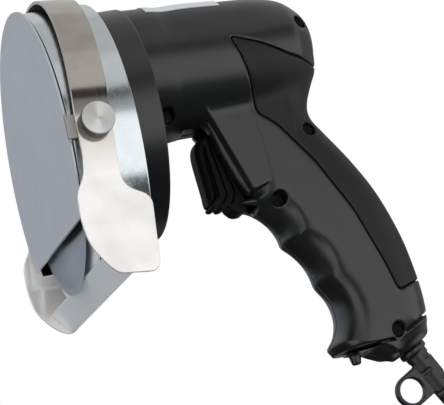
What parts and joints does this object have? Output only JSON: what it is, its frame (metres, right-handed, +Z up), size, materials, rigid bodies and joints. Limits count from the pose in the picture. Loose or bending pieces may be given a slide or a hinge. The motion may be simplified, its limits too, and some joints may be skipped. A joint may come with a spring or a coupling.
{
  "type": "electric kebab slicer",
  "caption": "Hand-held electric kebab slicer: pistol-grip motor casing, guarded round blade behind a flat front plate, and a swinging slice guide held by thumb knobs.",
  "frame": {"origin": "middle of the grip, on the casing's middle plane", "axes": "+X rearward from the front plate, +Y away from the screw side, +Z up"},
  "size_m": [0.1635, 0.1482, 0.2109],
  "materials": {
    "casing_plastic": "fine moulded texture, satin black",
    "soft_insert": "slightly softer matte black",
    "boot_rubber": "matte black moulded rubber",
    "switch_plastic": "plain black switch case",
    "plate_steel": "satin stainless sheet",
    "drum_steel": "polished stainless band",
    "guide_steel": "lightly brushed stainless sheet",
    "turned_steel": "turned and ground steel",
    "dark_steel": "oiled steel",
    "label_foil": "bare satin foil plate",
    "winding_copper": "copper and varnish",
    "ferrite": "sintered dark grey"
  },
  "bodies": {
    "body": {"near_shell": "casing_plastic", "far_shell": "casing_plastic", "gear_case": "casing_plastic", "rear_insert": "soft_insert", "cord_boot": "boot_rubber", "switch_body": "switch_plastic", "front_plate": "plate_steel", "guard_drum": "drum_steel", "near_clip": "guide_steel", "far_clip": "guide_steel", "front_bearing": "turned_steel", "rear_bearing": "turned_steel", "output_bearing": "turned_steel", "field_can": "dark_steel", "trigger_pin": "dark_steel", "drum_screw_1": "dark_steel", "drum_screw_2": "dark_steel", "drum_screw_3": "dark_steel", "shell_screw_1": "dark_steel", "shell_screw_2": "dark_steel", "insert_screw": "dark_steel", "shell_screw_4": "dark_steel", "shell_screw_5": "dark_steel", "label_plate": "label_foil", "near_magnet": "ferrite", "far_magnet": "ferrite", "near_brush": "ferrite", "far_brush": "ferrite"},
    "blade_rotor": {"blade": "turned_steel", "blade_hub_shaft": "dark_steel", "blade_bolt": "turned_steel", "output_gear": "dark_steel"},
    "armature": {"armature_shaft": "dark_steel", "armature_core": "winding_copper", "commutator": "winding_copper", "cooling_fan": "soft_insert"},
    "trigger_lever": {"trigger": "soft_insert"},
    "slice_guide": {"guide_bracket": "guide_steel", "guide_strip": "guide_steel"},
    "near_thumb_knob": {"near_knob": "turned_steel"},
    "far_thumb_knob": {"far_knob": "turned_steel"}
  },
  "joints": [
    {"name": "blade_spin", "type": "hinge", "parent": "body", "child": "blade_rotor", "pos_m": [-0.1132, 0, 0.06], "axis": [1, 0, 0], "continuous": true},
    {"name": "armature_spin", "type": "hinge", "parent": "body", "child": "armature", "pos_m": [-0.0432, 0, 0.09], "axis": [1, 0, 0], "continuous": true},
    {"name": "trigger_pull", "type": "hinge", "parent": "body", "child": "trigger_lever", "pos_m": [-0.0417, 0, 0.059], "axis": [0, -1, 0], "range_deg": [0, 7], "stiffness_Nm_per_rad": 0.3, "springref_deg": -5.73},
    {"name": "guide_swing", "type": "hinge", "parent": "body", "child": "slice_guide", "pos_m": [-0.1073, 0, 0.0587], "axis": [0, -1, 0], "range_deg": [0, 8]},
    {"name": "near_knob_turn", "type": "hinge", "parent": "body", "child": "near_thumb_knob", "pos_m": [-0.1073, 0, 0.0587], "axis": [0, 1, 0], "continuous": true},
    {"name": "far_knob_turn", "type": "hinge", "parent": "body", "child": "far_thumb_knob", "pos_m": [-0.1073, 0, 0.0587], "axis": [0, 1, 0], "continuous": true}
  ],
  "couplings": [
    {"joint": "armature_spin", "follows": "blade_spin", "ratio": -4}
  ]
}
